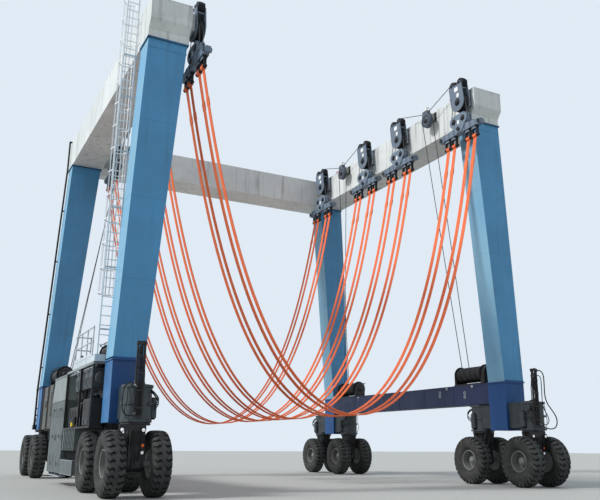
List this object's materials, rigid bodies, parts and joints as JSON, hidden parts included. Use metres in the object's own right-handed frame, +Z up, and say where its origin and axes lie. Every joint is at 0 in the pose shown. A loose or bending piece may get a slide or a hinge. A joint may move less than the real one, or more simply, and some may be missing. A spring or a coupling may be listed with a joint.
{
  "type": "travel lift",
  "caption": "Wheeled gantry crane with two tapered-column side frames, an open front, steered twin-wheel units, and sling hoists under its top beams",
  "frame": {"origin": "On the ground, under the middle of the machine's outer box.", "axes": "+X to the machine's right, +Y to its rear (the closed end with the cross beam), +Z up. The machine is 20.7 m long over its tyres, along Y."},
  "size_m": [19.49, 20.68, 19.7048],
  "materials": {
    "column_blue": "satin paint",
    "sill_blue": "satin paint",
    "beam_white": "satin paint",
    "hoist_grey": "satin paint",
    "dark_steel": "greased dark steel",
    "bogie_black": "dusty black paint",
    "tyre_rubber": "dusty rubber",
    "rim_grey": "dusty grey paint",
    "sling_orange": "woven polyester",
    "galvanised": "dull galvanised",
    "cabinet_grey": "satin paint",
    "light_grey": "satin paint",
    "machine_dark": "dark paint",
    "lamp_lens": "clear and coloured lenses"
  },
  "bodies": {
    "front_left_lead_steer": {"front_left_lead_yoke": "bogie_black"},
    "front_left_lead_wheel_pair": {"front_left_lead_wheels": "rim_grey", "front_left_lead_tyres": "tyre_rubber"},
    "front_left_trail_steer": {"front_left_trail_yoke": "bogie_black"},
    "front_left_trail_wheel_pair": {"front_left_trail_wheels": "rim_grey", "front_left_trail_tyres": "tyre_rubber"},
    "rear_left_lead_steer": {"rear_left_lead_yoke": "bogie_black"},
    "rear_left_lead_wheel_pair": {"rear_left_lead_wheels": "rim_grey", "rear_left_lead_tyres": "tyre_rubber"},
    "rear_left_trail_steer": {"rear_left_trail_yoke": "bogie_black"},
    "rear_left_trail_wheel_pair": {"rear_left_trail_wheels": "rim_grey", "rear_left_trail_tyres": "tyre_rubber"},
    "front_right_lead_steer": {"front_right_lead_yoke": "bogie_black"},
    "front_right_lead_wheel_pair": {"front_right_lead_wheels": "rim_grey", "front_right_lead_tyres": "tyre_rubber"},
    "front_right_trail_steer": {"front_right_trail_yoke": "bogie_black"},
    "front_right_trail_wheel_pair": {"front_right_trail_wheels": "rim_grey", "front_right_trail_tyres": "tyre_rubber"},
    "rear_right_lead_steer": {"rear_right_lead_yoke": "bogie_black"},
    "rear_right_lead_wheel_pair": {"rear_right_lead_wheels": "rim_grey", "rear_right_lead_tyres": "tyre_rubber"},
    "rear_right_trail_steer": {"rear_right_trail_yoke": "bogie_black"},
    "rear_right_trail_wheel_pair": {"rear_right_trail_wheels": "rim_grey", "rear_right_trail_tyres": "tyre_rubber"},
    "frame": {"air_cleaners": "light_grey", "caged_ladder": "galvanised", "columns": "column_blue", "conduit": "cabinet_grey", "control_cabinet": "cabinet_grey", "engine": "machine_dark", "front_rope_falls": "dark_steel", "fuel_tank": "machine_dark", "hoist_ropes": "dark_steel", "hose_masts": "bogie_black", "idler_sheaves": "dark_steel", "kingpin_housings": "bogie_black", "ladder_hoops": "galvanised", "lamps": "lamp_lens", "lower_housing": "cabinet_grey", "oil_tank": "cabinet_grey", "power_bay_frame": "machine_dark", "rear_cross_beam": "beam_white", "rear_rope_falls": "dark_steel", "sills": "sill_blue", "top_beams": "beam_white", "upper_blocks": "hoist_grey", "upper_sheaves": "dark_steel", "walkway": "galvanised", "walkway_rails": "galvanised", "winch_drums": "dark_steel", "winch_frames": "machine_dark"},
    "front_hoist": {"front_equalisers": "hoist_grey", "front_lower_blocks": "hoist_grey", "front_shackles": "dark_steel", "front_slings": "sling_orange"},
    "rear_hoist": {"rear_equalisers": "hoist_grey", "rear_lower_blocks": "hoist_grey", "rear_shackles": "dark_steel", "rear_slings": "sling_orange"}
  },
  "joints": [
    {"name": "front_left_lead_steering", "type": "hinge", "parent": "frame", "child": "front_left_lead_steer", "pos_m": [-8.7, -9.29, 2.33], "axis": [0, 0, 1], "range_deg": [-90, 90]},
    {"name": "front_left_lead_roll", "type": "hinge", "parent": "front_left_lead_steer", "child": "front_left_lead_wheel_pair", "pos_m": [-8.7, -9.29, 1.05], "axis": [1, 0, 0], "continuous": true},
    {"name": "front_left_trail_steering", "type": "hinge", "parent": "frame", "child": "front_left_trail_steer", "pos_m": [-8.7, -6.11, 2.33], "axis": [0, 0, 1], "range_deg": [-90, 90]},
    {"name": "front_left_trail_roll", "type": "hinge", "parent": "front_left_trail_steer", "child": "front_left_trail_wheel_pair", "pos_m": [-8.7, -6.11, 1.05], "axis": [1, 0, 0], "continuous": true},
    {"name": "rear_left_lead_steering", "type": "hinge", "parent": "frame", "child": "rear_left_lead_steer", "pos_m": [-8.7, 6.11, 2.33], "axis": [0, 0, 1], "range_deg": [-90, 90]},
    {"name": "rear_left_lead_roll", "type": "hinge", "parent": "rear_left_lead_steer", "child": "rear_left_lead_wheel_pair", "pos_m": [-8.7, 6.11, 1.05], "axis": [1, 0, 0], "continuous": true},
    {"name": "rear_left_trail_steering", "type": "hinge", "parent": "frame", "child": "rear_left_trail_steer", "pos_m": [-8.7, 9.29, 2.33], "axis": [0, 0, 1], "range_deg": [-90, 90]},
    {"name": "rear_left_trail_roll", "type": "hinge", "parent": "rear_left_trail_steer", "child": "rear_left_trail_wheel_pair", "pos_m": [-8.7, 9.29, 1.05], "axis": [1, 0, 0], "continuous": true},
    {"name": "front_right_lead_steering", "type": "hinge", "parent": "frame", "child": "front_right_lead_steer", "pos_m": [8.7, -9.29, 2.33], "axis": [0, 0, 1], "range_deg": [-90, 90]},
    {"name": "front_right_lead_roll", "type": "hinge", "parent": "front_right_lead_steer", "child": "front_right_lead_wheel_pair", "pos_m": [8.7, -9.29, 1.05], "axis": [1, 0, 0], "continuous": true},
    {"name": "front_right_trail_steering", "type": "hinge", "parent": "frame", "child": "front_right_trail_steer", "pos_m": [8.7, -6.11, 2.33], "axis": [0, 0, 1], "range_deg": [-90, 90]},
    {"name": "front_right_trail_roll", "type": "hinge", "parent": "front_right_trail_steer", "child": "front_right_trail_wheel_pair", "pos_m": [8.7, -6.11, 1.05], "axis": [1, 0, 0], "continuous": true},
    {"name": "rear_right_lead_steering", "type": "hinge", "parent": "frame", "child": "rear_right_lead_steer", "pos_m": [8.7, 6.11, 2.33], "axis": [0, 0, 1], "range_deg": [-90, 90]},
    {"name": "rear_right_lead_roll", "type": "hinge", "parent": "rear_right_lead_steer", "child": "rear_right_lead_wheel_pair", "pos_m": [8.7, 6.11, 1.05], "axis": [1, 0, 0], "continuous": true},
    {"name": "rear_right_trail_steering", "type": "hinge", "parent": "frame", "child": "rear_right_trail_steer", "pos_m": [8.7, 9.29, 2.33], "axis": [0, 0, 1], "range_deg": [-90, 90]},
    {"name": "rear_right_trail_roll", "type": "hinge", "parent": "rear_right_trail_steer", "child": "rear_right_trail_wheel_pair", "pos_m": [8.7, 9.29, 1.05], "axis": [1, 0, 0], "continuous": true},
    {"name": "front_hoist_lift", "type": "slide", "parent": "frame", "child": "front_hoist", "axis": [0, 0, 1], "range_m": [-11, 0], "deforming": ["front_slings", "front_rope_falls"]},
    {"name": "rear_hoist_lift", "type": "slide", "parent": "frame", "child": "rear_hoist", "axis": [0, 0, 1], "range_m": [-11, 0], "deforming": ["rear_slings", "rear_rope_falls"]}
  ]
}
